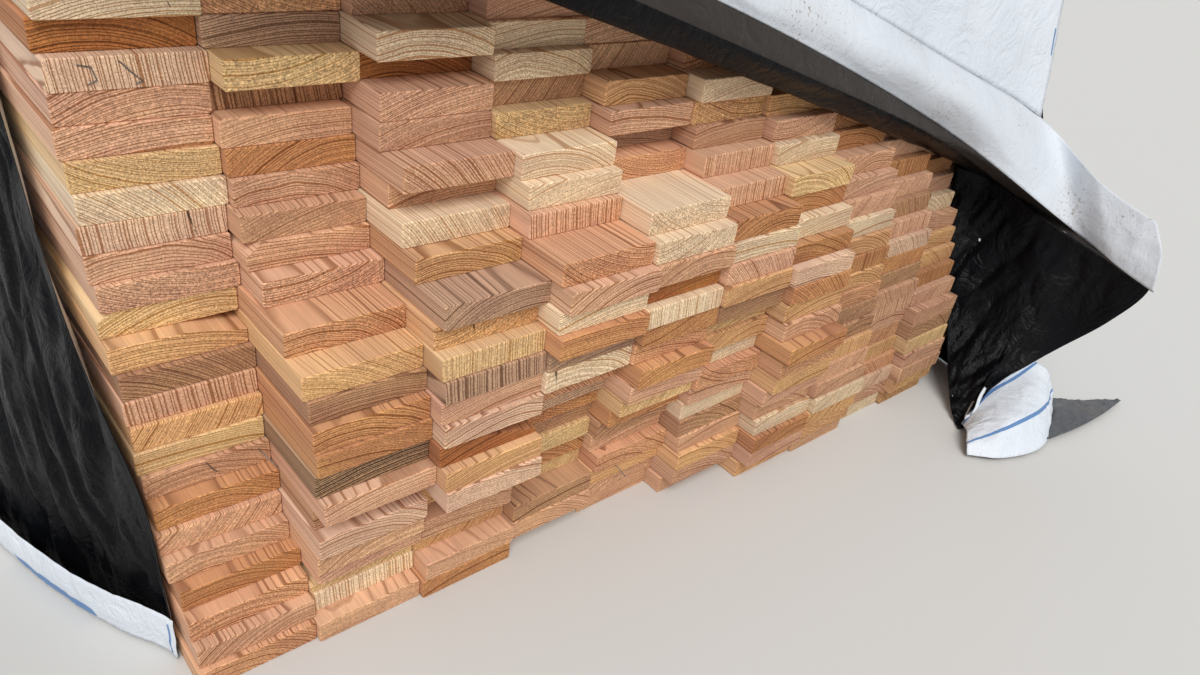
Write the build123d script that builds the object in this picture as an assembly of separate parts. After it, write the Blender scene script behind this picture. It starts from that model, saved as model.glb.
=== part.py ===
from build123d import *
import math
import os
import random

# One board, nominal 1 by 4 inches by 12 feet, surfaced on four sides
board_width = 88.9
board_thickness = 19.05
board_length = 3657.6
edge_ease = 1.6

# The stack: gaps between boards, and how far a course may lie off line sideways
columns = 11
courses = 32
side_gap = 0.4
bed_gap = 0.1
course_drift = 2.0

# The wrap: one woven sheet over the top, the sides and the far end
wrap_thickness = 1.2
wrap_clearance = 0.4
wrap_bend = 3.0
side_setback = 45.0
hem_height = 1.0

# Its end flap, which hangs from the top in front of the near end down to a crest, and is rolled
# under along that crest. The drops are below the top sheet, at the left and the right side.
top_overhang = 14.0
end_flap_lean = 13.5
crest_left_drop = 16.0
crest_right_drop = 277.0
roll_out = 152.0
roll_drop = 380.0

# The hem of the roll, tucked back over the board ends: how far in from the right side, out in front
# of the near plane and below the top sheet its back edge lies, at its middle and at its end
tucked_middle_in = 120.0
tucked_middle_out = 62.0
tucked_middle_drop = 326.0
tucked_end_out = 16.0
tucked_end_drop = 364.0

# The right corner's ear, where the roll goes on past the stack's side
ear_spread = 8.0
ear_top_out = 255.0
ear_top_drop = 344.0
ear_tip_out = 274.0
ear_tip_drop = 413.0

# The right flap, which opens forward along the ground and is drawn in to a foot with a curled end
right_foot_out = 112.0
drawn_in = 140.0
drawn_in_out = 188.0
curl_in = 78.0
curl_out = 272.0
curl_top_in = 4.0
curl_top_out = 200.0
curl_top_height = 73.0
tail_spread = 135.0
tail_out = 281.0

# The left flap, folded back along the side. Its fold leans back from the ground to the top, and its
# hem runs out along the ground.
left_fold_foot_out = 13.0
left_fold_top_back = 250.0
left_hem_bend_spread = 60.0
left_hem_bend_back = 115.0
left_hem_end_spread = 105.0
left_hem_end_back = 420.0
left_flap_top_back = 460.0

# How far each board stands out of the near end plane, in millimetres.
# An entry is a column, left to right, and goes up from the course on the ground.
stick_outs = [
    (60, 55, 45, 32, 20, 10, 5, -8, -12, -14, -18, -20,
     -24, -38, -36, -40, -42, -42, -46, -49, -51, -50, -60, -52),
    (65, 50, 48, 60, 68, 72, 60, 80, 70, 72, 70, 62,
     60, 35, 0, -17, -21, -34, -38, -39, -55, -30, -53, -55),
    (70, 70, 52, 60, 40, 60, 95, 93, 85, 88, 84, 86,
     84, 72, 80, 45, 28, 5, 26, -2, -4, -34, -5, -42),
    (48, 68, 67, 45, 50, 55, 51, 57, 65, 75, 89, 89,
     103, 97, 104, 94, 52, 45, 35, 3, -12, -6, -15, -20),
    (57, 60, 64, 70, 60, 66, 76, 88, 97, 103, 92, 98,
     100, 92, 101, 98, 85, 26, 6, 26, 14, -13, -15, -18),
    (78, 92, 93, 88, 86, 84, 88, 93, 84, 90, 86, 100,
     104, 101, 98, 95, 72, 49, 33, 28, 32, 5, -8, -12),
    (104, 114, 115, 110, 106, 112, 119, 120, 127, 112, 108, 110,
     109, 100, 90, 78, 80, 54, 45, 34, 20, 8, 0, -5),
    (108, 112, 115, 118, 115, 111, 108, 104, 101, 98, 96, 94,
     92, 88, 82, 76, 66, 48, 42, 32, 20, 12, 5, 0),
    (100, 102, 104, 100, 96, 93, 94, 96, 97, 92, 90, 90,
     84, 76, 68, 60, 50, 42, 34, 26, 18, 10, 4, 0),
    (105, 112, 116, 114, 112, 110, 109, 98, 90, 82, 76, 70,
     60, 50, 42, 34, 28, 22, 16, 10, 5, 0, -5, -5),
    (82, 80, 78, 70, 64, 58, 52, 46, 40, 34, 26, 18,
     10, 6, 3, 0, -5, -8, -10, -10, -12, -12, -15, -15),
]
top_course_scatter = 10.0
seed = 14

# Boards with wane, where the saw ran out into the bark: how far the missing edge reaches
# across the board, down its thickness and back along its length
wane_left = -1
wane_right = 1
waney_boards = {
    (1, 13): (wane_right, 40.0, 8.0, 900.0),
    (1, 14): (wane_left, 12.0, 6.0, 700.0),
    (2, 3): (wane_left, 16.0, 12.0, 800.0),
    (2, 16): (wane_left, 10.0, 8.0, 500.0),
    (3, 9): (wane_right, 60.0, 15.0, 1100.0),
}

# What follows from the sizes above
column_pitch = board_width + side_gap
course_pitch = board_thickness + bed_gap
stack_width = columns * column_pitch - side_gap
stack_height = courses * course_pitch - bed_gap
near_plane = -board_length / 2
scatter = random.Random(seed)


def stick_out(column, course):
    """The end's place in front of the near plane. Courses above the listed ones go on from the last."""
    listed = stick_outs[(column - 1) % len(stick_outs)]
    if course <= len(listed):
        return float(listed[course - 1])
    return listed[-1] + round(scatter.uniform(-top_course_scatter, top_course_scatter))


def plain_board():
    """A board along Y with its near end at Y = 0, its underside at Z = 0 and its long edges eased."""
    section = Rectangle(board_width, board_thickness, align=(Align.CENTER, Align.MIN))
    section = chamfer(section.vertices(), edge_ease)
    return Pos(0, board_length, 0) * extrude(Plane.XZ * section, board_length)


def waney_board(side, across, down, back):
    """A board whose upper edge on one side is cut by a slanting plane that runs out along it."""
    edge = side * board_width / 2
    on_top = Vector(edge - side * across, 0, board_thickness)
    on_edge = Vector(edge, 0, board_thickness - down)
    run_out = Vector(edge, back, board_thickness)
    outward = (on_edge - on_top).cross(run_out - on_top) * side
    wane = Plane(origin=on_top, z_dir=outward)
    return split(plain_board(), bisect_by=wane, keep=Keep.BOTTOM)


def course_of_boards(course):
    """One course: boards side by side, each with its own end, and the course a little off line."""
    drift = round(scatter.uniform(-course_drift, course_drift), 1)
    height = (course - 1) * course_pitch
    boards = []
    for column in range(1, columns + 1):
        board = plain_board()
        if (column, course) in waney_boards:
            board = waney_board(*waney_boards[column, course])
        across = (column - (columns + 1) / 2) * column_pitch + drift
        boards.append(Pos(across, near_plane - stick_out(column, course), height) * board)
    return Compound(children=boards)


def cover_section(growth):
    """The outline round the stack's section, with its top corners bent. Growth is the sheet's own wall."""
    half_width = side_sheet + growth
    height = top_sheet + growth - hem_height
    outline = Pos(0, hem_height) * Rectangle(2 * half_width, height, align=(Align.CENTER, Align.MIN))
    top_corners = outline.vertices().group_by(Axis.Y)[-1]
    return Plane.XZ * fillet(top_corners, wrap_bend + growth)


def stretch(*corners):
    """A flat stretch of the sheet between corners given on its middle surface."""
    outline = make_face(Polyline(*corners, close=True))
    return extrude(outline, wrap_thickness / 2, both=True)


def right_corner(spread, out, height):
    """A point of the sheet beside the right side, out in front of the near plane."""
    return (side_sheet + spread, near_plane - out, height)


def left_corner(spread, back, height):
    """A point of the sheet beside the left side, back along the stack."""
    return (-side_sheet - spread, near_plane + back, height)


def cover():
    """The sheet round the boards and down the far end. Its left near edge leans back as the fold does."""
    inside = cover_section(-wrap_thickness / 2)
    outside = cover_section(wrap_thickness / 2)
    length = cover_far - near_plane + left_fold_foot_out
    around = Pos(0, cover_far, 0) * extrude(outside - inside, length)
    around += Pos(0, cover_far, 0) * extrude(outside, -wrap_thickness)

    # What lies in front of the left fold, of the top's near edge and of the right side's is cut away
    beyond = board_width
    fold_side = make_face(Polyline(
        (0, near_plane - left_fold_foot_out, 0),
        (0, near_plane + left_fold_top_back, top_sheet + wrap_thickness),
        (0, near_plane - beyond, top_sheet + wrap_thickness),
        (0, near_plane - beyond, 0),
        close=True,
    ))
    left_side = Pos(-side_sheet - wrap_thickness, 0, 0) * fold_side
    around -= extrude(left_side, amount=wrap_bend + 2 * wrap_thickness, dir=(1, 0, 0))
    front = Pos(0, cover_near, 0) * Box(
        2 * side_sheet, 2 * beyond, 2 * top_sheet + 2 * wrap_thickness,
        align=(Align.CENTER, Align.MAX, Align.CENTER),
    )
    around -= Pos(wrap_bend + wrap_thickness, 0, 0) * front
    return around


def lumber_wrap():
    """The whole sheet as it lies: cover, far end, end flap with its roll, and the two open side flaps."""
    sheet = cover()
    joined = cover_near + wrap_thickness

    # The top reaches forward to the fold of the end flap
    fold = near_plane - top_overhang
    left_end = -side_sheet + wrap_bend
    sheet += stretch(
        (left_end, joined, top_sheet),
        (side_sheet - wrap_bend, joined, top_sheet),
        (side_sheet, fold, top_sheet),
        (left_end, fold, top_sheet),
    )

    # The end flap hangs from that fold down to its crest and leans out over the board ends
    lean = math.tan(math.radians(end_flap_lean))
    crest_left = (left_end, fold - crest_left_drop * lean, top_sheet - crest_left_drop)
    crest_right = (side_sheet, fold - crest_right_drop * lean, top_sheet - crest_right_drop)
    sheet += stretch((left_end, fold, top_sheet), (side_sheet, fold, top_sheet), crest_right, crest_left)

    # Under the crest the sheet is rolled forward and its hem is tucked back over the board ends
    roll_edge = right_corner(0, roll_out, top_sheet - roll_drop)
    tucked_middle = right_corner(-tucked_middle_in, tucked_middle_out, top_sheet - tucked_middle_drop)
    tucked_end = right_corner(0, tucked_end_out, top_sheet - tucked_end_drop)
    sheet += stretch(crest_left, crest_right, roll_edge)
    sheet += stretch(crest_left, roll_edge, tucked_middle)
    sheet += stretch(tucked_middle, roll_edge, tucked_end)

    # The right side goes on forward, past the board ends, to the corner's ear
    right_foot = right_corner(0, right_foot_out, hem_height)
    sheet += stretch(
        (side_sheet, joined, top_sheet - wrap_bend),
        (side_sheet, fold, top_sheet),
        crest_right,
        tucked_end,
        right_foot,
        (side_sheet, joined, hem_height),
    )
    ear_top = right_corner(ear_spread, ear_top_out, top_sheet - ear_top_drop)
    ear_tip = right_corner(ear_spread, ear_tip_out, top_sheet - ear_tip_drop)
    sheet += stretch(crest_right, ear_top, roll_edge)
    sheet += stretch(ear_top, ear_tip, roll_edge)
    sheet += stretch(tucked_end, roll_edge, ear_tip)

    # The right flap comes down from the ear to a foot drawn in towards the stack, and curls there
    foot = right_corner(-drawn_in, drawn_in_out, hem_height)
    curl = right_corner(-curl_in, curl_out, hem_height)
    curl_top = right_corner(-curl_top_in, curl_top_out, curl_top_height)
    tail = right_corner(tail_spread, tail_out, hem_height)
    sheet += stretch(tucked_end, right_foot, foot)
    sheet += stretch(tucked_end, ear_tip, foot)
    sheet += stretch(foot, curl, curl_top)
    sheet += stretch(curl, tail, curl_top)

    # The left flap turns back at its fold, lies on the side at its top and stands out at its hem
    fold_foot = left_corner(0, -left_fold_foot_out, hem_height)
    fold_top = left_corner(0, left_fold_top_back, top_sheet - wrap_bend)
    hem_bend = left_corner(left_hem_bend_spread, left_hem_bend_back, hem_height)
    hem_end = left_corner(left_hem_end_spread, left_hem_end_back, hem_height)
    back_top = left_corner(0, left_flap_top_back, top_sheet - wrap_bend)
    sheet += stretch(fold_foot, fold_top, hem_bend)
    sheet += stretch(fold_top, hem_end, hem_bend)
    sheet += stretch(fold_top, back_top, hem_end)
    return sheet


parts = {}
for number in range(1, courses + 1):
    parts[f"course_{number:02d}"] = course_of_boards(number)

# The middle of the sheet's own thickness lies clear of the boards, wherever a course has drifted
side_sheet = stack_width / 2 + course_drift + wrap_clearance + wrap_thickness / 2
top_sheet = stack_height + wrap_clearance + wrap_thickness / 2
farthest_back = max(-min(column) for column in stick_outs) + top_course_scatter
cover_far = board_length / 2 + farthest_back + wrap_clearance
cover_near = near_plane + side_setback
parts["lumber_wrap"] = lumber_wrap()

# The origin is the middle of the whole, on the ground
whole = Compound(list(parts.values())).bounding_box()
to_origin = Pos(-whole.center().X, -whole.center().Y, -whole.min.Z)

os.makedirs("parts", exist_ok=True)
for name, shape in parts.items():
    placed = to_origin * shape
    placed.label = name
    export_step(placed, f"parts/{name}.step")
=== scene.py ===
import bpy
import bmesh
import math
import random
from mathutils import Matrix, Vector, noise


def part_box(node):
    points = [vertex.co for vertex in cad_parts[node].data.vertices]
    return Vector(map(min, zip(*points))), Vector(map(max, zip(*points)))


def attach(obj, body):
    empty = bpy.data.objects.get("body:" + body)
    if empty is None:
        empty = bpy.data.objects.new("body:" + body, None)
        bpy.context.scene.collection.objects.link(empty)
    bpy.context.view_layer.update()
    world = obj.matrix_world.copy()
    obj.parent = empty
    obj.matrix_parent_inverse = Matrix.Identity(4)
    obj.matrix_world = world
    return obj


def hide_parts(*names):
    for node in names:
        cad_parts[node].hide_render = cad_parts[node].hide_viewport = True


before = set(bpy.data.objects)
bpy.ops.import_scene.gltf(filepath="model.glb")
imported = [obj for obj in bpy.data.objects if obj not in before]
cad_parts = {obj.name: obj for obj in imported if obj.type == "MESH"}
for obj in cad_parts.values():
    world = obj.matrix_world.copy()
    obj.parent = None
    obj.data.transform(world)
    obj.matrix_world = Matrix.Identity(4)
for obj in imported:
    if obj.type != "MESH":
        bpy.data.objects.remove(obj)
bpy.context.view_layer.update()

# The camera stands at the stack's left front corner, a little below its top, and looks down along
# the board ends. Places are in mm from the stack's left side, its near plane and the ground.
columns = 11
side_gap = 0.0004
# How far the lowest board on the left stands out of the near plane
first_stick_out = 0.060
course_names = sorted(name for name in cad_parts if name.startswith("course_"))


def boards_of(course):
    """Each board of a course, left to right: its left side, underside, near end and far end."""
    low, high = (Vector(corner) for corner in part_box(course))
    pitch = (high.x - low.x + side_gap) / columns
    ends = [[math.inf, -math.inf] for column in range(columns)]
    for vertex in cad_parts[course].data.vertices:
        end = ends[int((vertex.co.x - low.x + side_gap / 2) / pitch)]
        end[0] = min(end[0], vertex.co.y)
        end[1] = max(end[1], vertex.co.y)
    return [(low.x + column * pitch, low.z, near, far) for column, (near, far) in enumerate(ends)]


stack = [boards_of(course) for course in course_names]
left_side = sum(course[0][0] for course in stack) / len(stack)
near_plane = stack[0][0][2] + first_stick_out


def place(across, back, up):
    """A point in the frame from mm across the stack, back into it and above the ground."""
    return Vector((left_side + across / 1000, near_plane + back / 1000, up / 1000))


def in_scene(name, data):
    """A new object in the scene."""
    made = bpy.data.objects.new(name, data)
    bpy.context.scene.collection.objects.link(made)
    return made


# The focal length and the image's drop below the lens's middle, in pixels of the image
image_width, focal, image_drop = 1200, 884.5, 46.6
eye = place(-102.9, -509.2, 584.0)
right, look = (0.75533, -0.64115, 0.13565), (0.59361, 0.58164, -0.55617)
backward = -Vector(look).normalized()
upward = backward.cross(Vector(right)).normalized()
rightward = upward.cross(backward)
lens = bpy.data.cameras.new("camera")
lens.sensor_width = 36
lens.lens = focal / image_width * lens.sensor_width
lens.shift_y = image_drop / image_width
lens.clip_start = 0.01
camera = in_scene("camera", lens)
turned = Matrix((rightward, upward, backward)).transposed().to_4x4()
camera.matrix_world = Matrix.Translation(eye) @ turned
bpy.context.scene.camera = camera

# The boards are planed softwood, 19 by 89 mm, cut square at both ends. Each has its own rings,
# tone and end finish. They lie loose on each other, with nothing between them.
board_width, board_thickness, board_ease = 0.0889, 0.01905, 0.0016


def linear(code):
    """A colour from its usual six-figure code, as the renderer's linear values."""
    channels = [int(code[at:at + 2], 16) / 255 for at in (1, 3, 5)]
    return [c / 12.92 if c <= 0.04045 else ((c + 0.055) / 1.055) ** 2.4 for c in channels] + [1.0]


# Spring wood, summer wood, how strongly the rings show and how rough the sawn end is
finishes = {
    "cream": ("#F4DAB6", "#C4966A", 0.70, 0.3),
    "yellow": ("#EBC590", "#B5844C", 0.65, 0.5),
    "golden": ("#E5B27E", "#A97343", 0.70, 0.3),
    "tan": ("#E2B08A", "#A3704E", 0.65, 0.3),
    "pale_pink": ("#EFC8A8", "#AE7A58", 0.80, 0.2),
    "pink": ("#E6B492", "#A8714D", 0.70, 0.4),
    "salmon": ("#E2A97E", "#A06640", 0.70, 0.7),
    "orange": ("#D29664", "#8E5832", 0.65, 0.4),
    "resinous": ("#B87646", "#6E3F20", 0.65, 0.4),
    "brown": ("#C4956F", "#7B5138", 0.65, 0.3),
    "grey": ("#C9A182", "#7F5D46", 0.75, 0.4),
    "weathered": ("#B48E6C", "#3B2A20", 1.00, 0.6),
}
usual_finishes = "cream yellow golden golden tan tan pale_pink pink pink salmon orange brown".split()
# Where the tree's heart lay from the board's middle, the rings' spacing and how much they wander, in mm
grains = {
    "arch": (25, -88, 1.8, 1.8),
    "level": (30, -260, 1.6, 1.2),
    "wavy": (-14, -95, 2.0, 3.2),
    "upright": (240, 18, 2.5, 0.8),
    "slash": (-150, 120, 1.8, 0.9),
    "backslash": (-130, -120, 1.7, 1.0),
    "fine": (60, -240, 1.1, 0.8),
    "rough": (40, 130, 1.5, 1.6),
}
usual_grains = "arch level level wavy upright slash slash backslash fine rough".split()
# The boards whose look stands out, a column at a time, from the ground up
seen_boards = {
    1: "salmon-arch tan-arch salmon-arch orange-arch tan-wavy tan-slash orange-arch tan-wavy"
       " yellow-level golden-slash pink-upright brown-backslash golden-level yellow-arch pink-rough"
       " pink-wavy pale_pink-upright cream-backslash yellow-rough pink-level pink-arch"
       " pale_pink-upright resinous-arch cream-level",
    2: "tan-level cream-upright yellow-slash pink-level tan-arch pale_pink-arch brown-arch pink-level"
       " weathered-level orange-level orange-arch brown-level golden-backslash salmon-arch pink-rough"
       " tan-level tan-fine pink-wavy orange-arch tan-level brown-upright yellow-rough grey-level"
       " salmon-rough",
    3: "orange-level tan-level golden-slash tan-level tan-arch golden-arch pale_pink-level"
       " golden-level resinous-level pale_pink-wavy pink-level grey-upright yellow-upright"
       " golden-rough grey-arch golden-arch cream-backslash tan-level pink-backslash pink-fine"
       " pink-fine resinous-arch cream-wavy pink-backslash",
    4: "cream-rough tan-arch brown-level yellow-slash orange-arch yellow-fine brown-level"
       " orange-rough grey-level salmon-backslash cream-arch grey-level orange-level cream-level"
       " pink-arch salmon-rough pink-upright cream-fine cream-arch yellow-rough brown-slash"
       " cream-wavy cream-level pink-level",
    5: "tan-level tan-arch golden-level salmon-arch tan-level brown-arch orange-level yellow-slash"
       " pink-level orange-arch salmon-level orange-rough cream-upright resinous-level tan-arch"
       " cream-rough cream-rough salmon-rough grey-level pink-level golden-wavy tan-slash"
       " pink-level tan-level",
    6: "tan-level pink-arch golden-arch tan-level brown-arch cream-level pink-level salmon-rough"
       " cream-level golden-arch yellow-arch brown-level golden-level pink-backslash cream-level"
       " orange-arch pink-upright pink-upright tan-level golden-rough cream-fine salmon-rough",
    7: "golden-arch pink-level orange-arch cream-level tan-arch pink-level golden-level salmon-arch"
       " orange-level tan-arch golden-level orange-backslash pale_pink-level orange-arch"
       " cream-level orange-arch yellow-arch cream-level pink-rough golden-level golden-arch",
}
# The other boards' looks are dealt out, the same each run
dealt = random.Random(31)


def look_of(column, course):
    """The board's finish and grain: the one that it is known by, or one dealt out."""
    known = seen_boards.get(column, "").split()
    if course <= len(known):
        return known[course - 1].split("-")
    return dealt.choice(usual_finishes), dealt.choice(usual_grains)


def board_blank(length):
    """One board along Y from 0, with eased edges, and its surface laid out flat within a strip."""
    outline = []
    corner_steps = 4
    for quarter, (side, top) in enumerate([(1, 1), (-1, 1), (-1, 0), (1, 0)]):
        middle_x = side * (board_width / 2 - board_ease)
        middle_z = board_ease + top * (board_thickness - 2 * board_ease)
        for step in range(corner_steps):
            turn = math.radians(90 * quarter + 90 / (corner_steps - 1) * step)
            x, z = board_ease * math.cos(turn), board_ease * math.sin(turn)
            outline.append((middle_x + x, middle_z + z))
    # An end's rim, how far it is drawn in, and how far back the near stretch goes
    rim, sink, near_zone = 0.0007, 0.0006, 0.3
    stations = [(0, sink), (rim, 0), (near_zone, 0), (length - rim, 0), (length, sink)]
    # The flat map's shares along the strip, half of it for the near stretch, and round the section
    strips = [(0.200, 0.204), (0.204, 0.50), (0.51, 0.965), (0.965, 0.969)]
    near_end, far_end = (0.0, 0.195), (0.972, 0.028)
    side_starts, corner_shares = [0.0, 0.405, 0.500, 0.905], [0.0, 0.004, 0.008, 0.012]
    round_shares = [start + share for start in side_starts for share in corner_shares] + [1.0]
    blank = bmesh.new()
    laid_out = blank.loops.layers.uv.new("OFBake")
    rings = []
    for along, inset in stations:
        across, up = 1 - 2 * inset / board_width, 1 - 2 * inset / board_thickness
        rings.append([blank.verts.new((x * across, along, inset + z * up)) for x, z in outline])
    count = len(outline)
    for (first, second), strip in zip(zip(rings, rings[1:]), strips):
        for at in range(count):
            beside = (at + 1) % count
            face = blank.faces.new((first[at], first[beside], second[beside], second[at]))
            spots = [(strip[0], at), (strip[0], at + 1), (strip[1], at + 1), (strip[1], at)]
            for loop, (u, v) in zip(face.loops, spots):
                loop[laid_out].uv = (u, round_shares[v])
    for ring, (start, share) in ((rings[0], near_end), (rings[-1], far_end)):
        for loop in blank.faces.new(ring).loops:
            x, y, z = loop.vert.co
            loop[laid_out].uv = (start + share * (x / board_width + 0.5), z / board_thickness)
    bmesh.ops.recalc_face_normals(blank, faces=blank.faces)
    mesh = bpy.data.meshes.new("board_blank")
    blank.to_mesh(mesh)
    blank.free()
    spot = mesh.attributes.new("spot", "FLOAT_VECTOR", "POINT")
    for vertex in mesh.vertices:
        spot.data[vertex.index].vector = vertex.co - Vector((0, 0, board_thickness / 2))
    return bpy.data.objects.new("board_blank", mesh)


def feed(made, inputs):
    """Sets a node's inputs to values, or links them to sockets."""
    for key, value in inputs.items():
        if isinstance(value, bpy.types.NodeSocket):
            made.id_data.links.new(value, made.inputs[key])
        else:
            made.inputs[key].default_value = value


def node(tree, kind, inputs=None, **settings):
    """A node of that kind with its settings and inputs."""
    made = tree.nodes.new(kind)
    for name, value in settings.items():
        setattr(made, name, value)
    feed(made, inputs or {})
    return made


def reckon(operation, *values, kind="ShaderNodeMath"):
    """The result of one Math node, in the tree of the first socket given."""
    tree = next(value.id_data for value in values if isinstance(value, bpy.types.NodeSocket))
    return node(tree, kind, dict(enumerate(values)), operation=operation).outputs[0]


def times(first, *others):
    """The product of two or more values."""
    for other in others:
        first = reckon("MULTIPLY", first, other)
    return first


def between(share, low, high):
    """The value that goes from low to high as the share goes from 0 to 1."""
    return reckon("MULTIPLY_ADD", share, high - low, low)


def reckon_vector(operation, *values):
    """The result of one Vector Math node."""
    return reckon(operation, *values, kind="ShaderNodeVectorMath")


def scaled(vector, scale):
    """The vector made that many times as long."""
    inputs = {0: vector, "Scale": scale}
    return node(scale.id_data, "ShaderNodeVectorMath", inputs, operation="SCALE").outputs[0]


def parts_of(vector):
    """The vector's X, Y and Z."""
    return node(vector.id_data, "ShaderNodeSeparateXYZ", {0: vector}).outputs


def clouds(spot, scale, detail, **more):
    """Soft noise at a spot: a value and a colour."""
    inputs = {"Vector": spot, "Scale": scale, "Detail": detail, **more}
    return node(spot.id_data, "ShaderNodeTexNoise", inputs).outputs


def bumped(height, strength, distance):
    """The surface's normal, tilted by the height."""
    inputs = {"Height": height, "Strength": strength, "Distance": distance}
    return node(height.id_data, "ShaderNodeBump", inputs).outputs[0]


def mixed_colour(share, first, second):
    """The colour that goes from the first to the second as the share goes from 0 to 1."""
    inputs = {0: share, 6: first, 7: second}
    return node(share.id_data, "ShaderNodeMix", inputs, data_type="RGBA").outputs[2]


def node_group(name, inputs, outputs, kind="ShaderNodeTree"):
    """A node group with sockets of those titles and kinds, its input sockets and output node."""
    group = bpy.data.node_groups.new(name, kind)
    for way, sockets in (("INPUT", inputs), ("OUTPUT", outputs)):
        for title, socket in sockets.items():
            group.interface.new_socket(title, in_out=way, socket_type=f"NodeSocket{socket}")
    return group, group.nodes.new("NodeGroupInput").outputs, group.nodes.new("NodeGroupOutput")


def new_finish(name):
    """A new material, its node tree and its surface."""
    material = bpy.data.materials.new(name)
    material.use_nodes = True
    return material, material.node_tree, material.node_tree.nodes["Principled BSDF"]


def own_spot(given, shift):
    """The spot in a pattern, moved by the board's own chance, so that no two boards are alike."""
    return reckon_vector("ADD", given["Spot"], reckon_vector("MULTIPLY", given["Chance"], shift))


def growth_rings():
    """Rings round the tree's heart: the share of dark summer wood, and each ring's own chance number."""
    group, given, result = node_group(
        "growth_rings",
        {"Spot": "Vector", "Heart": "Vector", "Spacing": "Float", "Wander": "Float", "Chance": "Float"},
        {"Summer Wood": "Float", "Ring Chance": "Float"})
    # The rings stray from their round by up to about twice Wander
    stretched = node(group, "ShaderNodeMapping", {
        "Vector": own_spot(given, (3.1, 7.7, 5.3)), "Scale": (16.0, 3.2, 22.0)}).outputs[0]
    drift = clouds(stretched, 1.0, 3.0)["Color"]
    centred = reckon_vector("SUBTRACT", drift, (0.5, 0.5, 0.5))
    pushed = scaled(centred, times(given["Wander"], 4.0))
    # The heart leans, so that the rings run out of the faces along the board
    along = parts_of(given["Spot"])["Y"]
    other_chance = reckon("FRACT", times(given["Chance"], 7.3))
    lean = node(group, "ShaderNodeCombineXYZ", {
        "X": times(reckon("SUBTRACT", other_chance, 0.5), 0.05),
        "Z": times(reckon("SUBTRACT", given["Chance"], 0.5), 0.06)})
    heart = reckon_vector("ADD", given["Heart"], scaled(lean.outputs[0], along))
    bent = reckon_vector("ADD", reckon_vector("SUBTRACT", given["Spot"], heart), pushed)
    across = reckon_vector("MULTIPLY", bent, (1.0, 0.0, 1.0))
    radius = node(group, "ShaderNodeVectorMath", {0: across}, operation="LENGTH").outputs["Value"]
    turns = reckon("DIVIDE", radius, given["Spacing"])
    inputs = {"W": turns, "Scale": 0.6, "Detail": 1.0}
    uneven = node(group, "ShaderNodeTexNoise", inputs, noise_dimensions="1D").outputs[0]
    turns = reckon("MULTIPLY_ADD", uneven, 1.6, turns)
    # Where in a ring the summer wood starts, is darkest, softens and stops, and how dark it is
    ring_stops = [(0.52, 0.0), (0.84, 1.0), (0.94, 0.85), (1.0, 0.0)]
    ramp = node(group, "ShaderNodeValToRGB", {0: reckon("FRACT", turns)})
    stops = ramp.color_ramp.elements
    for at, (share, dark) in enumerate(ring_stops):
        stop = stops[at] if at < 2 else stops.new(share)
        stop.position = share
        stop.color = (dark, dark, dark, 1)
    numbered = reckon("ADD", reckon("FLOOR", turns), times(given["Chance"], 91.0))
    chance = node(group, "ShaderNodeTexWhiteNoise", {"W": numbered}, noise_dimensions="1D")
    feed(result, {"Summer Wood": ramp.outputs[0], "Ring Chance": chance.outputs["Value"]})
    return group


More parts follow.
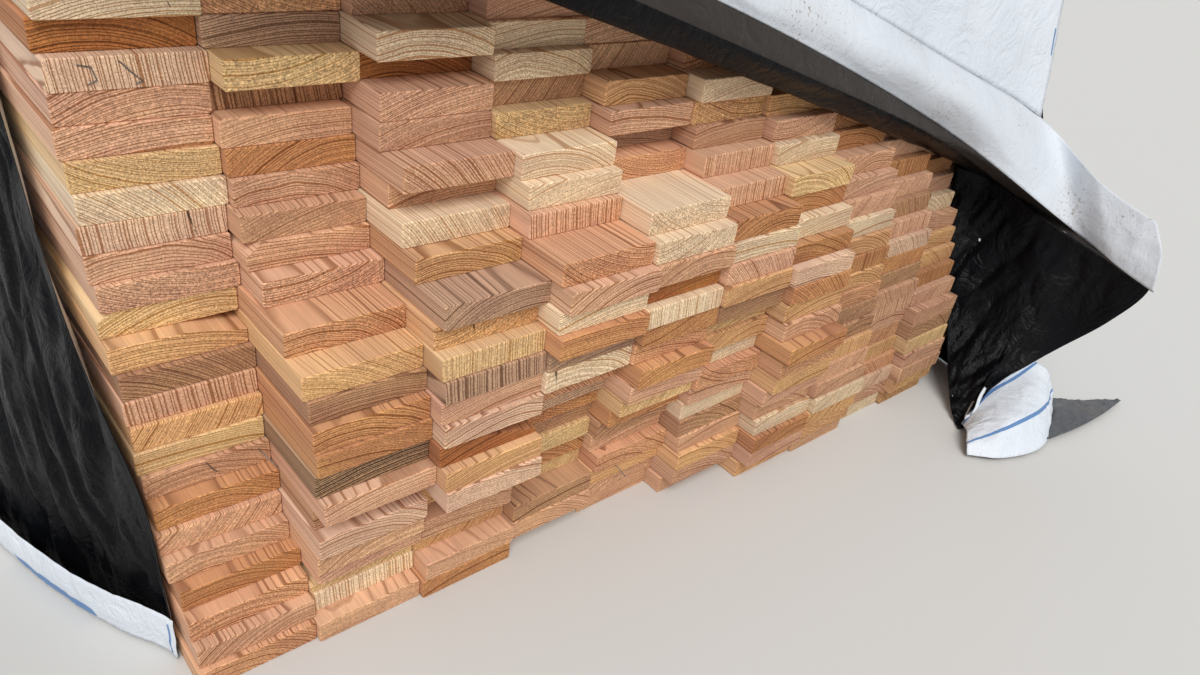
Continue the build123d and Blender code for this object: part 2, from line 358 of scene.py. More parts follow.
def wood_surface():
    """Colour, roughness and height of planed faces and sawn ends, from a board's own attributes."""
    group, given, result = node_group(
        "wood_surface",
        {"Spot": "Vector", "End": "Float", "Chance": "Float", "Spring Wood": "Color",
         "Summer Wood": "Color", "Rings": "Float", "Ring Chance": "Float", "Contrast": "Float",
         "Sawn": "Float", "Split": "Float"},
        {"Color": "Color", "Roughness": "Float", "Height": "Float"})
    spot = own_spot(given, (5.9, 2.3, 8.1))

    def grain(scale, detail=2.0, rough=0.55):
        """Noise with that scale across, along and up the board."""
        stretched = node(group, "ShaderNodeMapping", {"Vector": spot, "Scale": scale}).outputs[0]
        return clouds(stretched, 1.0, detail, Roughness=rough)[0]

    def by_end(on_face, on_end):
        """One value on the planed faces and the other on the sawn ends."""
        return node(group, "ShaderNodeMix", {0: given["End"], 2: on_face, 3: on_end}).outputs[0]

    fibres = grain((520.0, 7.0, 520.0), 4.0, 0.7)
    streaks = grain((120.0, 2.2, 120.0))
    blotches = grain((14.0, 3.0, 30.0))
    pores = grain((900.0, 300.0, 900.0), 3.0, 0.75)
    saw_lines = grain((650.0, 60.0, 55.0))
    tufts = grain((640.0, 100.0, 640.0), 2.0, 0.6)

    # No two rings show alike, and on the faces the fibres break them up
    shown = times(given["Rings"], between(given["Ring Chance"], 0.9, 2.1), given["Contrast"])
    on_face = times(shown, given["Rings"], between(fibres, -0.3, 1.9))
    wood = mixed_colour(by_end(on_face, shown), given["Spring Wood"], given["Summer Wood"])

    # The end's rim is bruised pale, which fades out from 0.4 to 2 mm in from its edge
    parts = parts_of(given["Spot"])
    in_from_edge = reckon("SUBTRACT", board_width / 2, reckon("ABSOLUTE", parts["X"]))
    in_from_face = reckon("SUBTRACT", board_thickness / 2, reckon("ABSOLUTE", parts["Z"]))
    inward = reckon("MINIMUM", in_from_edge, in_from_face)
    bruise = {"Value": inward, 1: 0.0004, 2: 0.002, 3: 1.12, 4: 1.0}
    rim = node(group, "ShaderNodeMapRange", bruise).outputs[0]

    # Dry splits run up a few ends, a little aslant, ragged, and wider at the top, each painted dark as
    # shade in the crack
    off_split = reckon("SUBTRACT", parts["X"], given["Split"])
    off_split = reckon("MULTIPLY_ADD", parts["Z"], 0.2, off_split)
    off_split = reckon("MULTIPLY_ADD", reckon("SUBTRACT", saw_lines, 0.5), 0.004, off_split)
    split_width = reckon("MULTIPLY_ADD", parts["Z"], 0.06, times(tufts, 0.0009))
    split = reckon("LESS_THAN", reckon("ABSOLUTE", off_split), split_width)

    # Planed faces are paler than the ends, which drink in dirt and light
    value = times(between(blotches, 0.68, 1.14), between(streaks, 0.85, 1.15))
    face_value = times(value, between(fibres, 0.62, 1.52))
    rough_tone = times(reckon("SUBTRACT", tufts, 0.5), 2.2)
    speckle = reckon("MULTIPLY_ADD", rough_tone, given["Sawn"], 1.0)
    end_value = times(value, between(pores, -0.17, 2.13), rim, speckle, between(split, 1.0, 0.25))
    toned = node(group, "ShaderNodeHueSaturation", {
        "Color": wood, "Value": by_end(face_value, end_value),
        "Saturation": between(given["End"], 0.90, 1.00),
        "Hue": reckon("MULTIPLY_ADD", reckon("SUBTRACT", blotches, 0.5), 0.03, 0.5)})
    rough = reckon("MULTIPLY_ADD", given["End"], 0.20, between(fibres, 0.62, 0.82))

    face_height = reckon("MULTIPLY_ADD", given["Rings"], 0.25, times(fibres, 0.35))
    fuzz = times(tufts, times(given["Sawn"], 3.0))
    end_height = reckon("MULTIPLY_ADD", given["Rings"], 0.5, reckon("ADD", times(saw_lines, 0.6), fuzz))
    height = by_end(face_height, end_height)
    feed(result, {"Color": toned.outputs[0], "Roughness": rough, "Height": height})
    return group


# Ends with a dry split: how far to the right of the end's middle it lies, in mm
splits = {(1, 24): 26, (1, 17): 22, (3, 14): -12, (4, 11): -34}
no_split = 1000


def lumber():
    """The material of every board. A board's attributes give its rings, colours and roughness."""
    material, tree, surface = new_finish("planed_softwood")

    def own(name, value="Fac"):
        return node(tree, "ShaderNodeAttribute", attribute_name=name).outputs[value]

    spot, chance = own("spot", "Vector"), own("chance")
    normal = node(tree, "ShaderNodeNewGeometry").outputs["Normal"]
    end_faces_over = 0.6
    end = reckon("GREATER_THAN", reckon("ABSOLUTE", parts_of(normal)["Y"]), end_faces_over)
    rings = node(tree, "ShaderNodeGroup", {
        "Spot": spot, "Heart": own("heart", "Vector"), "Spacing": own("spacing"), "Wander": own("wander"),
        "Chance": chance}, node_tree=growth_rings()).outputs
    wood = node(tree, "ShaderNodeGroup", {
        "Spot": spot, "End": end, "Chance": chance, "Spring Wood": own("spring_wood", "Color"),
        "Summer Wood": own("summer_wood", "Color"), "Rings": rings["Summer Wood"],
        "Ring Chance": rings["Ring Chance"], "Contrast": own("contrast"), "Sawn": own("sawn"),
        "Split": own("split")}, node_tree=wood_surface()).outputs
    feed(surface, {"Base Color": wood["Color"], "Roughness": wood["Roughness"],
                   "Normal": bumped(wood["Height"], 0.75, 0.0006), "Specular IOR Level": 0.2})
    return material


def board_layer():
    """A tree that sets a blank on each point, with the point's own look, and gives it the wood."""
    tree, given, result = node_group(
        "board_layer", {"Points": "Geometry", "Blank": "Object", "Wood": "Material"},
        {"Boards": "Geometry"}, "GeometryNodeTree")
    blank = node(tree, "GeometryNodeObjectInfo", {"Object": given["Blank"]}).outputs["Geometry"]
    laid = node(tree, "GeometryNodeInstanceOnPoints", {"Points": given["Points"], "Instance": blank})
    real = node(tree, "GeometryNodeRealizeInstances", {"Geometry": laid.outputs[0]})
    inputs = {"Geometry": real.outputs[0], "Material": given["Wood"]}
    feed(result, {"Boards": node(tree, "GeometryNodeSetMaterial", inputs).outputs[0]})
    return tree


# How far a board's look may stray from that of its finish and grain, as factors
stray = {
    "tint": (0.90, 1.06), "across": (0.6, 1.4), "up": (0.8, 1.25), "spacing": (0.8, 1.25),
    "wander": (0.7, 1.3), "contrast": (0.9, 1.35), "sawn": (0.5, 1.3),
}
# Past the fifth column, each one is painted darker by this share, a painted shade of the wrap over the
# right side
painted_shade_past, painted_shade_a_column = 5, 0.05
rough_sawn = 0.9
# How a point keeps each kind of value
kept_as = {int: ("INT", "value"), float: ("FLOAT", "value"), tuple: ("FLOAT_VECTOR", "vector"),
           list: ("FLOAT_COLOR", "color")}
# The bare share on either side of a board's strip of the flat map
strip_margin = 0.04


def laid_boards(name, boards):
    """The boards as one plain mesh. Each entry is a board's column, its course and its place."""
    mesh = bpy.data.meshes.new(name)
    mesh.from_pydata([(x + board_width / 2, near, z) for _, _, (x, z, near, _) in boards], [], [])
    looks = []
    for at, (column, course, _) in enumerate(boards):
        finish, grain = look_of(column, course)
        across, up, spacing, wander = grains[grain]
        spring, summer, contrast, sawn = finishes[finish]
        side = dealt.choice((-1, 1)) if grain in ("arch", "level", "wavy", "rough") else 1
        # The columns on the right are painted darker, a painted shade
        tint = dealt.uniform(*stray["tint"]) * (1 - painted_shade_a_column * max(0, column - painted_shade_past))
        own = {"number": at}
        across *= side * dealt.uniform(*stray["across"])
        own["heart"] = (across / 1000, 0, up * dealt.uniform(*stray["up"]) / 1000)
        own["spacing"] = spacing * dealt.uniform(*stray["spacing"]) / 1000
        own["wander"] = wander * dealt.uniform(*stray["wander"]) / 1000
        own["chance"] = dealt.random()
        own["spring_wood"] = [tint * c for c in linear(spring)[:3]] + [1]
        own["summer_wood"] = [tint * c for c in linear(summer)[:3]] + [1]
        own["contrast"] = contrast * dealt.uniform(*stray["contrast"])
        own["sawn"] = rough_sawn if grain == "rough" else sawn * dealt.uniform(*stray["sawn"])
        own["split"] = splits.get((column, course), no_split) / 1000
        looks.append(own)
    for title, value in looks[0].items():
        kind, field = kept_as[type(value)]
        layer = mesh.attributes.new(title, kind, "POINT")
        for spot, own in zip(layer.data, looks):
            setattr(spot, field, own[title])
    points = in_scene(name, mesh)
    layer = points.modifiers.new("layer", "NODES")
    layer.node_group = layer_tree
    for item in layer_tree.interface.items_tree:
        if item.name in layer_inputs:
            layer[item.identifier] = layer_inputs[item.name]
    bpy.context.view_layer.update()
    graph = bpy.context.evaluated_depsgraph_get()
    real = bpy.data.meshes.new_from_object(
        points.evaluated_get(graph), preserve_all_data_layers=True, depsgraph=graph)
    points.modifiers.remove(layer)
    points.data = real
    points.data.name = name
    numbers = [item.value for item in real.attributes["number"].data]
    for loop in real.loops:
        uv = real.uv_layers["OFBake"].data[loop.index].uv
        up_strip = strip_margin + (1 - 2 * strip_margin) * uv.y
        uv.y = (numbers[loop.vertex_index] + up_strip) / len(boards)
    return points


# Boards with wane, where the saw ran out into the bark: how far the missing edge reaches
# across the board, down its thickness and back along its length, in mm
wane_left, wane_right = -1, 1
waney_boards = {
    (1, 13): (wane_right, 40, 8, 900),
    (1, 14): (wane_left, 12, 6, 700),
    (2, 3): (wane_left, 16, 12, 800),
    (2, 16): (wane_left, 10, 8, 500),
    (3, 9): (wane_right, 60, 15, 1100),
}


def cut_wane(piece, number, corner, side, across, down, back):
    """Cuts one board's upper edge by a slanting plane that runs out along it, and closes the cut."""
    edge = corner + Vector((side * board_width / 2, 0, board_thickness))
    on_top = edge - Vector((side * across / 1000, 0, 0))
    on_edge = edge - Vector((0, 0, down / 1000))
    run_out = edge + Vector((0, back / 1000, 0))
    outward = (on_edge - on_top).cross(run_out - on_top) * side
    work = bmesh.new()
    work.from_mesh(piece.data)
    owner = work.verts.layers.int["number"]
    wood_index = next(iter(work.faces)).material_index
    mine = [part for group in (work.verts, work.edges, work.faces) for part in group
            if (part if isinstance(part, bmesh.types.BMVert) else part.verts[0])[owner] == number]
    cut = bmesh.ops.bisect_plane(work, geom=mine, plane_co=on_top, plane_no=outward, clear_outer=True)
    open_edges = [part for part in cut["geom_cut"] if isinstance(part, bmesh.types.BMEdge)]
    filled = bmesh.ops.edgenet_fill(work, edges=open_edges)["faces"]
    bmesh.ops.recalc_face_normals(work, faces=work.faces)
    for face in filled:
        face.material_index = wood_index
    work.to_mesh(piece.data)
    work.free()


layer_tree = board_layer()
layer_inputs = {"Blank": board_blank(stack[0][0][3] - stack[0][0][2]), "Wood": lumber()}
courses_a_piece = 2
for first in range(0, len(stack), courses_a_piece):
    level = [(column + 1, course + 1, stack[course][column])
             for course in range(first, first + courses_a_piece) for column in range(columns)]
    piece = laid_boards(f"boards_{first + 1:02d}_{first + courses_a_piece:02d}", level)
    for at, (column, course, (x, z, near, _)) in enumerate(level):
        if (column, course) in waney_boards:
            cut_wane(piece, at, Vector((x + board_width / 2, near, z)), *waney_boards[column, course])
    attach(piece, "root")
    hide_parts(*course_names[first:first + courses_a_piece])

# Wire staples left in a few ends, where a tag or a cover was held. They are of round steel wire,
# 0.9 mm thick and bent as they tore loose, and lie against the wood or stand off by one leg.
staple_wire = 0.00045


def bent_wire(name, points, material):
    """A wire of that material along the points."""
    line = bpy.data.curves.new(name, "CURVE")
    line.dimensions = "3D"
    line.bevel_depth = staple_wire
    line.bevel_resolution = 2
    line.use_fill_caps = True
    run = line.splines.new("POLY")
    run.points.add(len(points) - 1)
    for spot, point in zip(run.points, points):
        spot.co = (*point, 1)
    bent = bpy.data.objects.new(name, line)
    mesh = bpy.data.meshes.new_from_object(bent)
    mesh.materials.append(material)
    bpy.data.objects.remove(bent)
    return mesh


steel, steel_tree, steel_surface = new_finish("dull_steel_wire")
steel_stain = clouds(node(steel_tree, "ShaderNodeTexCoord").outputs["Object"], 900.0, 3.0)[0]
feed(steel_surface, {"Base Color": mixed_colour(steel_stain, linear("#5A5855"), linear("#94918D")),
                     "Normal": bumped(steel_stain, 0.2, 0.0002), "Metallic": 0.9, "Roughness": 0.45})

# Each staple's column and course, and its wire's points in mm from the end's lower left corner:
# across, out and up
staples = {
    "staple_1": (1, 22, [(17, 0.2, 15), (24, 0.5, 13.5), (26, 0.5, 6), (21, 0.2, 4)]),
    "staple_2": (1, 22, [(39, 0.2, 16), (45, 0.5, 9), (50, 0.5, 4), (46, 0.2, 2.5)]),
    "staple_3": (1, 8, [(43, 0.2, 16), (46, 0.6, 10), (49, 0.4, 6)]),
    "staple_4": (1, 8, [(80, -1, 14), (81, 5, 13), (88, 14, 3)]),
    "staple_5": (5, 3, [(30, -1, 15), (31, 4, 14), (36, 12, 5)]),
}
for name, (column, course, points) in staples.items():
    x, z, near, _ = stack[course - 1][column - 1]
    route = [(x + across / 1000, near - out / 1000, z + up / 1000) for across, out, up in points]
    staple = in_scene(name, bent_wire(name, route, steel))
    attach(staple, "root")

# The wrap is one sheet of woven plastic, white outside and black inside, laid over the bundle by
# hand. It is tight along its folds and slack between them. Here it is built a stretch at a time.
sheet_thickness = 0.0004
# The wrap's right side, top and far end, in mm
stack_right, top = 984, 614
far = (max(board[3] for course in stack for board in course) - near_plane) * 1000 + 2


def woven_plastic():
    """Colour, roughness and height of woven plastic sheet: weave, creases, soft patches of painted light
    and shade, and dust.
    """
    group, given, result = node_group(
        "woven_plastic",
        {"Spot": "Vector", "Light": "Color", "Shade": "Color", "Dust": "Float", "Roughness": "Float"},
        {"Color": "Color", "Roughness": "Float", "Height": "Float"})
    spot = given["Spot"]
    soft = clouds(spot, 6.0, 4.0)[0]
    creases = clouds(spot, 26.0, 5.0, Roughness=0.6, Distortion=1.6)[0]
    threads = node(group, "ShaderNodeTexVoronoi", {"Vector": spot, "Scale": 480.0, "Randomness": 0.3})
    fine = clouds(spot, 260.0, 3.0, Roughness=0.7)[0]
    patches = clouds(spot, 14.0, 3.0)[0]
    # The colour goes from the shade to the light in soft patches, a painted light and shade
    level = reckon("MULTIPLY_ADD", fine, 0.25, times(soft, 0.9))
    tone = mixed_colour(level, given["Shade"], given["Light"])
    # Dust lies as a thin film in patches, and as specks that are thickest there
    specks = reckon("GREATER_THAN", reckon("MULTIPLY_ADD", patches, 0.35, fine), 0.84)
    film = times(reckon("POWER", patches, 3.0), given["Dust"])
    dust = reckon("ADD", film, times(specks, times(given["Dust"], 1.6)))
    sharp = reckon("ABSOLUTE", reckon("SUBTRACT", creases, 0.5))
    feed(result, {
        "Color": mixed_colour(dust, tone, linear("#8A7C69")),
        "Roughness": reckon("MULTIPLY_ADD", soft, 0.2, given["Roughness"]),
        "Height": reckon("MULTIPLY_ADD", threads.outputs[0], 0.05, times(sharp, -2.2))})
    return group


plastic_group = woven_plastic()


def within(value, low, high):
    """1 where the value lies from low to high, and 0 elsewhere."""
    return reckon("COMPARE", value, (low + high) / 2, (high - low) / 2)


blue_ink = "#2C6FAE"


def sheet_finish(name, light, shade, dust, roughness, gloss, creasing=0.35, heights=(), boxes=(),
                 print_and_sheen_colour=blue_ink):
    """The material of one side of the sheet. Plain stripes of one colour lie at heights over
    the ground, each its middle and half its width, or in boxes of the sheet's own flat map, each its
    low and high across and its low and high down. Most are blue print; the hem's box is a painted sheen."""
    material, tree, surface = new_finish(name)
    spot = node(tree, "ShaderNodeTexCoord").outputs["Object"]
    plastic = node(tree, "ShaderNodeGroup", {
        "Spot": spot, "Light": linear(light), "Shade": linear(shade), "Dust": dust,
        "Roughness": roughness}, node_tree=plastic_group).outputs
    colour = plastic["Color"]
    if heights or boxes:
        up = parts_of(spot)["Z"]
        on_map = parts_of(node(tree, "ShaderNodeUVMap", uv_map="cloth").outputs[0])
        mask = 0.0
        for middle, half_width in heights:
            mask = reckon("ADD", mask, reckon("COMPARE", up, middle, half_width))
        for low_across, high_across, low_down, high_down in boxes:
            across = within(on_map["X"], low_across, high_across)
            mask = reckon("ADD", mask, times(across, within(on_map["Y"], low_down, high_down)))
        # Blue print and the hem's painted sheen both show less where the sheet is rough
        worn_print_and_painted_sheen = times(mask, between(plastic["Roughness"], 1.0, 0.7))
        colour = mixed_colour(worn_print_and_painted_sheen, colour, linear(print_and_sheen_colour))
    feed(surface, {"Base Color": colour, "Roughness": plastic["Roughness"],
                   "Normal": bumped(plastic["Height"], creasing, 0.004), "Specular IOR Level": gloss})
    return material


# Light, shade, dust, roughness, gloss and creasing
white_plain = ("#E9EFF6", "#CAD3DE", 0.10, 0.38, 0.4, 0.55)
white_dusty = ("#E2E8EF", "#C4CCD6", 0.42, 0.42, 0.35)
black_plain = ("#0B0D12", "#040405", 0.02, 0.18, 0.2, 0.6)
black_side = sheet_finish("black_plastic_lining", *black_plain)
# The hem's half nearer the roll is painted dark grey-brown, a painted sheen on the black
black_hem = sheet_finish("black_plastic_hem", *black_plain, boxes=[(0, 1, 0, 0.5)], print_and_sheen_colour="#3A3532")
# The black side mirrors less than the white one
for lining in (black_side, black_hem):
    lining.node_tree.nodes["Principled BSDF"].inputs["IOR"].default_value = 1.33
white_side = sheet_finish("white_woven_plastic", *white_plain)


def smooth_line(points, share):
    """A point at that share of the way along a smooth curve through the points."""
    at = share * (len(points) - 1)
    first = min(int(at), len(points) - 2)
    t = at - first
    p1, p2 = points[first], points[first + 1]
    p0 = points[first - 1] if first else p1 * 2 - p2
    p3 = points[first + 2] if first + 2 < len(points) else p2 * 2 - p1
    return 0.5 * (2 * p1 + (p2 - p0) * t + (2 * p0 - 5 * p1 + 4 * p2 - p3) * t ** 2
                  + (3 * p1 - p0 - 3 * p2 + p3) * t ** 3)


# The sheet is tight along these folds, and slack this far from them, in metres
fold_reach = 0.06
folds = [
    (place(0, -14, top), place(stack_right, -14, top)),
    (place(-3, -14, top), place(-3, far, top)),
    (place(stack_right, -14, top), place(stack_right, far, top)),
    (place(-3, far, top), place(stack_right, far, top)),
    (place(-3, far, 0), place(-3, far, top)),
    (place(stack_right, far, 0), place(stack_right, far, top)),
]


def slack_at(point):
    """How slack the sheet is at a point: 0 on a fold, 1 well away."""
    nearest = math.inf
    for start, end in folds:
        run = end - start
        share = min(1, max(0, (point - start).dot(run) / run.length_squared))
        nearest = min(nearest, (point - start - share * run).length)
    share = min(1, nearest / fold_reach)
    return share * share * (3 - 2 * share)


def crumple(point, size, run, length):
    """The lift of the sheet's wrinkles at a point, from 0 to about 1. They are length times as long
    as they are wide in the direction of their run."""
    point = point - run * point.dot(run) * (1 - 1 / length)
    # A broad wave, sharp creases on it, and small ones between them
    wave = 0.5 + 0.5 * noise.noise(point / size)
    crease = 1 - min(1, 3.5 * abs(noise.noise(point / size * 1.7 + Vector((4, 9, 2)))))
    small = 1 - min(1, 3 * abs(noise.noise(point / size * 4.1)))
    return 0.55 * wave + 0.3 * crease + 0.15 * small


def sheet(name, white_towards, rows, steps, lift, size,
          finish=white_side, run=(0, 1, 0), length=1.0, still=(0, 0, 0, 0), rim=0, lining=black_side):
    """One stretch of the wrap through rows of points in mm, in that many steps down and across. Its
    wrinkles are about size mm wide and lift it by up to lift mm. They fade out over still, the shares
    of its width and depth that lie at its start, end, top and foot. Its cut edge shows the white
    side's plastic, or with a rim of 1 the lining's."""
    run = Vector(run).normalized()
    rows = [[place(*point) for point in row] for row in rows]
    down_steps, across_steps = steps
    work = bmesh.new()
    laid_out = work.loops.layers.uv.new("cloth")
    lines, held_back = [], {}
    for j in range(down_steps + 1):
        lines.append([])
        for i in range(across_steps + 1):
            u, v = i / across_steps, j / down_steps
            vertex = work.verts.new(smooth_line([smooth_line(row, u) for row in rows], v))
            lines[-1].append(vertex)
            fading = [share / reach for share, reach in zip((u, 1 - u, v, 1 - v), still) if reach]
            held_back[vertex] = min([1] + fading)
    for j in range(down_steps):
        for i in range(across_steps):
            spots = [(i, j), (i + 1, j), (i + 1, j + 1), (i, j + 1)]
            face = work.faces.new([lines[v][u] for u, v in spots])
            face.smooth = True
            for loop, (u, v) in zip(face.loops, spots):
                loop[laid_out].uv = (u / across_steps, v / down_steps)
    work.normal_update()
    facing = sum((face.normal * face.calc_area() for face in work.faces), Vector())
    if facing.dot(Vector(white_towards)) < 0:
        bmesh.ops.reverse_faces(work, faces=work.faces)
        work.normal_update()
    moved = [
        vertex.co + vertex.normal * slack_at(vertex.co) * held_back[vertex]
        * crumple(vertex.co, size / 1000, run, length) * lift / 1000
        for vertex in work.verts
    ]
    for vertex, point in zip(work.verts, moved):
        vertex.co = point
        vertex.co.z = max(point.z, 2 * sheet_thickness)
    weld = 1e-5
    bmesh.ops.remove_doubles(work, verts=work.verts, dist=weld)
    mesh = bpy.data.meshes.new(name)
    work.to_mesh(mesh)
    work.free()
    mesh.materials.append(finish)
    mesh.materials.append(lining)
    made = in_scene(name, mesh)
    wall = made.modifiers.new("thickness", "SOLIDIFY")
    wall.thickness = sheet_thickness
    wall.offset = -1
    wall.material_offset = 1
    wall.material_offset_rim = rim
    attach(made, "root")
    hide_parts("lumber_wrap")


# The cover runs from one foot over the top to the other, the whole length of the bundle behind
# the near end. The boards hold it flat on top. Two blue stripes run along each side near the ground.
side_bow = 1.5


def cover_line(back):
    """The cover's line round the bundle at a place along it, from the right foot to the left."""
    stack_left, flat = -4, top + 1
    # Either side, from its foot to the top: how far it stands out, and how high
    side = [(side_bow, 2), (side_bow, 150), (2 * side_bow, 300), (side_bow, 450), (0, 560), (0, 606),
            (-1, top), (-9, flat), (-60, flat)]
    line = [(stack_right + out, up) for out, up in side]
    line += [(across, flat) for across in (740, 490, 240)]
    line += [(stack_left - out, up) for out, up in reversed(side)]
    return [(across, back, up) for across, up in line]


def level_row(up, *spots):
    """A row of points at one height, from their places across and back."""
    return [(across, back, up) for across, back in spots]


striped_side = sheet_finish("white_plastic_with_long_stripes", *white_plain,
                            heights=[(0.062, 0.004), (0.094, 0.004)])
cover_backs = [250, 700, 1200, 1700, 2200, 2700, 3200, far]
sheet("wrap_cover", (0, 0, 1), [cover_line(back) for back in cover_backs], (150, 120), lift=12, size=190,
      finish=striped_side,
      still=(0, 0, 0.08, 0))
# The front stretch's rows: how far back, how high and how far to the right
front_rows = [(-14, top, stack_right), (0, top + 1, stack_right - 1), (120, top + 1, stack_right - 1),
              (262, top + 0.6, stack_right - 1)]
sheet("wrap_front_top", (0, 0, 1), [
    [(across, back, up) for across in (0, 250, 500, 760, right)] for back, up, right in front_rows],
    (22, 70), lift=8, size=190,
    still=(0, 0, 0, 0.3))

# At the far end the sides of the wrap are folded in first, and the top is folded down over them
# as a flap that narrows towards the ground.
far_rows = [(far, top), (far + 1, 400), (far + 1, 200), (far, 2)]
sheet("wrap_far_sides", (0, 1, 0), [
    [(across, back, up) for across in (stack_right, 660, 330, -4)] for back, up in far_rows],
    (30, 40), lift=3, size=120)
sheet("wrap_far_flap", (0, 1, 0), [
    level_row(top, (stack_right - 2, far + 1), (660, far + 1), (330, far + 1), (-2, far + 1)),
    level_row(430, (940, far + 5), (640, far + 7), (340, far + 7), (40, far + 5)),
    level_row(240, (870, far + 5), (620, far + 7), (370, far + 7), (118, far + 5)),
    [(790, far + 5, 40), (600, far + 8, 28), (390, far + 8, 30), (196, far + 5, 42)]],
    (36, 44), lift=6, size=110)

# The end flap hangs from the top fold, slack over the board ends, down to its crest. A short blue
# bar is printed near its right edge.
crest = [Vector(point) for point in (
    (0, -18, 598), (250, -32, 548), (520, -47, 483), (770, -66, 405), (985, -83, 335), (990, -172, 290),
    (992, -246, 270))]
# The crest's fifth point is at the corner, where the flap ends
corner, flap_spans = 4, 12
under_flap = [smooth_line(crest, corner / (len(crest) - 1) * at / flap_spans)
              for at in range(flap_spans + 1)]
barred = sheet_finish("white_plastic_with_short_bar", *white_plain, boxes=[(0.989, 0.993, 0.70, 0.79)])
sheet("wrap_end_flap", (0, -1, 0), [
    [(stack_right / flap_spans * at, -14, top) for at in range(flap_spans + 1)],
    [(0, -15, 611), (250, -18, 598), (510, -25, 580), (765, -32, 560), (985, -32, 545)],
    [(0, -16, 606), (250, -26, 574), (510, -38, 530), (765, -52, 480), (985, -58, 438)],
    under_flap],
    (44, 100), lift=6, size=150,
    finish=barred, run=(0.8, 0, -0.6), length=2, still=(0, 0, 0, 0.2))

# The flap's lower edge is rolled: a dusty white band outside, which goes on past the right corner
# as an ear, and the hem tucked back over the board ends with its black side out.
dusty = sheet_finish("dusty_white_woven_plastic", *white_dusty)
belly = [(0, -26, 593), (250, -48, 532), (520, -66, 456), (780, -92, 370), (984, -116, 288),
         (989, -202, 250), (991, -268, 238)]
roll_edge = [(0, -22, 586), (250, -48, 516), (520, -66, 434), (800, -80, 332), (984, -150, 236),
             (990, -228, 210), (991, -277, 198)]
sheet("wrap_roll", (0, -1, 0), [crest, belly, roll_edge],
      (26, 130), lift=5, size=110,
      finish=dusty, run=(0.85, 0, -0.5), length=3, still=(0, 0, 0.4, 0.2))
sheet("wrap_tucked_hem", (0, 1, 0), [
    roll_edge,
    [(0, -30, 560), (250, -62, 494), (514, -74, 414), (750, -78, 338), (968, -90, 246), (990, -130, 224),
     (992, -210, 207)],
    [(0, -30, 532), (251, -58, 472), (508, -60, 396), (700, -58, 338), (951, -24, 258), (986, -34, 240),
     (991, -150, 212)]],
    (14, 110), lift=5, size=70,
    run=(0.85, 0, -0.5), length=5, still=(0, 0, 0.3, 0), rim=1, lining=black_hem)

# The right side of the wrap goes on forward past the board ends and opens, black inside. It is
# drawn in at its foot, where its end has curled over to show the white, and a tail lies on the ground.
sheet("wrap_right_side", (1, 0, 0), [
    [(984, 262, top - 1), (984, 45, top), (984, 15, top), (984, -14, top)],
    [(984.7, 262, 480), (986, 45, 480), (986, -18, 478), (985, -50, 470)],
    [(986.2, 262, 345), (989, 45, 340), (995, -30, 340), (994, -78, 338)],
    [(986.6, 262, 300), (991, 45, 308), (1002, -50, 308), (1003, -114, 308)],
    [(986.2, 262, 255), (992, 45, 272), (1003, -70, 272), (1004, -186, 268)],
    [(985.8, 262, 225), (992, 45, 235), (1003, -90, 235), (1003, -236, 232)],
    [(985.4, 262, 190), (990, 45, 200), (1003, -110, 200), (997, -270, 200)],
    [(985, 262, 140), (989, 45, 140), (999, -110, 140), (995, -247, 140)],
    [(985, 262, 73), (987, 45, 73), (993, -100, 73), (983, -204, 73)],
    [(985.1, 262, 36), (986, 45, 36), (982, -110, 38), (905, -187, 40)],
    [(985.1, 262, 2), (985, 45, 2), (966, -120, 2), (858, -195, 2)]],
    (70, 60), lift=4, size=120,
    finish=striped_side, still=(0.25, 0, 0, 0), rim=1)
sheet("wrap_right_flap", (1, 1, 0.2), [
    [(951, -22, 258), (944, -45, 183), (925, -95, 84), (869, -160, 18), (846, -191, 2)],
    [(974, -62, 252), (962, -86, 172), (930, -128, 78), (876, -174, 22), (848, -192, 2)],
    [(980, -130, 232), (966, -160, 158), (948, -172, 88), (888, -182, 28), (850, -193, 2)],
    [(990, -205, 214), (986, -205, 150), (962, -186, 82), (896, -180, 36), (854, -193, 2)],
    [(994, -267, 203), (991, -245, 140), (982, -204, 73), (905, -186, 40), (858, -194, 2)]],
    (80, 90), lift=17, size=58,
    run=(0.5, -0.1, 0.85), length=4, still=(0.12, 0.2, 0, 0.55), rim=1)
curl_stripes = sheet_finish("white_plastic_with_two_stripes", *white_plain,
                            boxes=[(0, 1, 0.08, 0.125), (0, 1, 0.64, 0.685)])
sheet("wrap_curl", (0, -1, 0.5), [
    [(981, -193, 62), (944, -185, 46), (905, -177, 30), (862, -185, 2)],
    [(992, -212, 52), (946, -218, 46), (892, -212, 35), (832, -206, 14)],
    [(1002, -224, 28), (940, -242, 32), (868, -238, 28), (812, -218, 10)],
    [(1010, -232, 3), (912, -268, 3), (842, -254, 3), (804, -226, 3)]],
    (40, 60), lift=5, size=45,
    finish=curl_stripes, still=(0, 0, 0.4, 0))
# The tail's grey and near-black patches are painted light and shade, with dust on them
tail_side = sheet_finish("grey_plastic_in_painted_light_and_shade", "#6A6E74", "#101114", 0.3, 0.28, 0.4, creasing=0.9)
sheet("wrap_tail", (0, -0.3, 1), [
    [(1004, -226, 13), (1045, -247, 8), (1085, -264, 5), (1117, -279, 3)],
    [(990, -244, 6), (1018, -258, 8), (1056, -270, 7), (1117, -279, 3)],
    [(920, -266, 4), (985, -276, 4), (1050, -280, 4), (1117, -279, 3)]],
    (20, 40), lift=6, size=30,
    finish=tail_side)

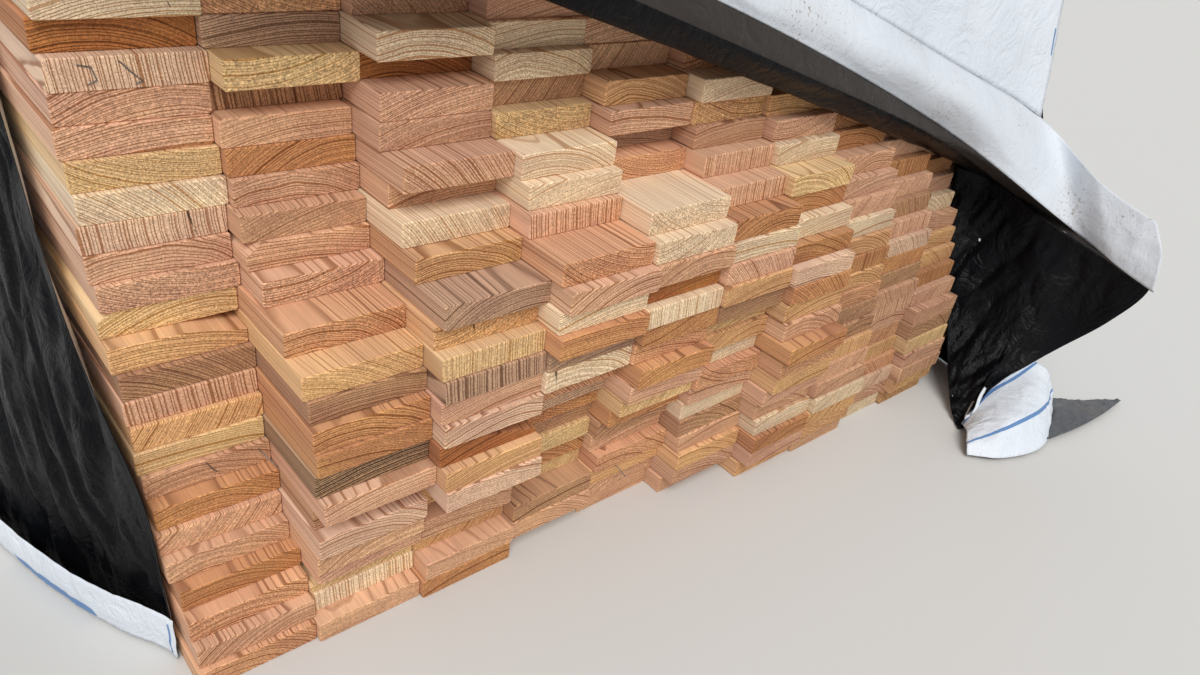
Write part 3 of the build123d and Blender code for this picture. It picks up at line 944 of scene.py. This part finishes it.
# The left side of the wrap is folded back along the bundle with its black side out. It clings at
# the top, and its foot stands out on the ground with the hem turned up to show the white.
sheet("wrap_left_flap", (1, 0, 0), [
    level_row(2, (-3, -18), (-7, 0), (-28, 37), (-54, 98), (-77, 180), (-100, 300), (-106, 420)),
    level_row(75, (-4, -16), (-11, 10), (-30, 60), (-52, 120), (-70, 200), (-88, 310), (-92, 420)),
    level_row(148, (-5, -13), (-14, 28), (-30, 85), (-48, 150), (-60, 230), (-72, 330), (-76, 425)),
    level_row(212, (-12, 22), (-17, 68), (-28, 120), (-40, 180), (-50, 250), (-58, 345), (-62, 430)),
    [(-12, 84, 262), (-16, 118, 270), (-24, 160, 280), (-33, 215, 290), (-42, 280, 300), (-52, 360, 310),
     (-56, 436, 320)],
    [(-10, 141, 365), (-13, 165, 380), (-20, 210, 400), (-26, 260, 420), (-32, 315, 440), (-37, 380, 450),
     (-38, 444, 460)],
    [(-7, 250, 606), (-10, 268, 608), (-15, 296, 608), (-19, 330, 608), (-22, 370, 608), (-24, 410, 608),
     (-24, 458, 608)]],
    (90, 90), lift=19, size=70,
    run=(-0.1, -0.45, -0.88), length=5, still=(0.2, 0, 0, 0.1), rim=1)
hem_stripe = sheet_finish("white_hem_with_short_stripe", *white_plain,
                          boxes=[(0.05, 0.075, 0.15, 0.95), (0.38, 0.6, 0.72, 0.95)])
sheet("wrap_left_hem", (-1, -0.4, 0), [
    [(-3, -23, 44), (-10, -5, 43), (-34, 36, 42), (-58, 98, 39), (-81, 182, 36), (-103, 302, 33),
     (-108, 420, 30)],
    [(-4, -24, 22), (-11, -6, 22), (-35, 34, 22), (-60, 96, 20), (-84, 179, 19), (-107, 300, 17),
     (-112, 420, 16)],
    level_row(2, (-4, -22), (-10, -4), (-32, 33), (-58, 95), (-81, 178), (-104, 300), (-110, 420))],
    (10, 90), lift=2.5, size=40,
    finish=hem_stripe)

# The studio: a plain pale floor, an even pale room, and one broad soft light from the upper left
floor_reach = 200
floor_mesh = bpy.data.meshes.new("floor")
floor_corners = [(x * floor_reach, y * floor_reach, 0) for x, y in ((-1, -1), (1, -1), (1, 1), (-1, 1))]
floor_mesh.from_pydata(floor_corners, [], [(0, 1, 2, 3)])
floor = in_scene("floor", floor_mesh)
floor_paint, _, floor_surface = new_finish("pale_floor")
feed(floor_surface, {"Base Color": linear("#CFCFCD"), "Roughness": 0.9})
floor_mesh.materials.append(floor_paint)

# The room lights the bundle, and the camera sees a plain backdrop in its place
room = bpy.data.worlds.new("room")
room.use_nodes = True
room_tree = room.node_tree
room_light = room_tree.nodes["Background"]
feed(room_light, {"Color": linear("#FBFCFF"), "Strength": 0.62})
backdrop = node(room_tree, "ShaderNodeBackground", {"Color": linear("#D9D8D5"), "Strength": 1.0})
seen = node(room_tree, "ShaderNodeLightPath").outputs["Is Camera Ray"]
shown = node(room_tree, "ShaderNodeMixShader", {
    0: seen, 1: room_light.outputs[0], 2: backdrop.outputs[0]})
feed(room_tree.nodes["World Output"], {"Surface": shown.outputs[0]})
bpy.context.scene.world = room
daylight = bpy.data.lights.new("daylight", "SUN")
daylight.energy = 2.1
daylight.color = (1.0, 0.97, 0.93)
daylight.angle = math.radians(35)
daylight_holder = in_scene("daylight", daylight)
shines_towards = Vector((0.42, 0.62, -0.85))
daylight_holder.rotation_euler = shines_towards.to_track_quat("-Z", "Y").to_euler()

bpy.context.scene.view_settings.view_transform = "Standard"
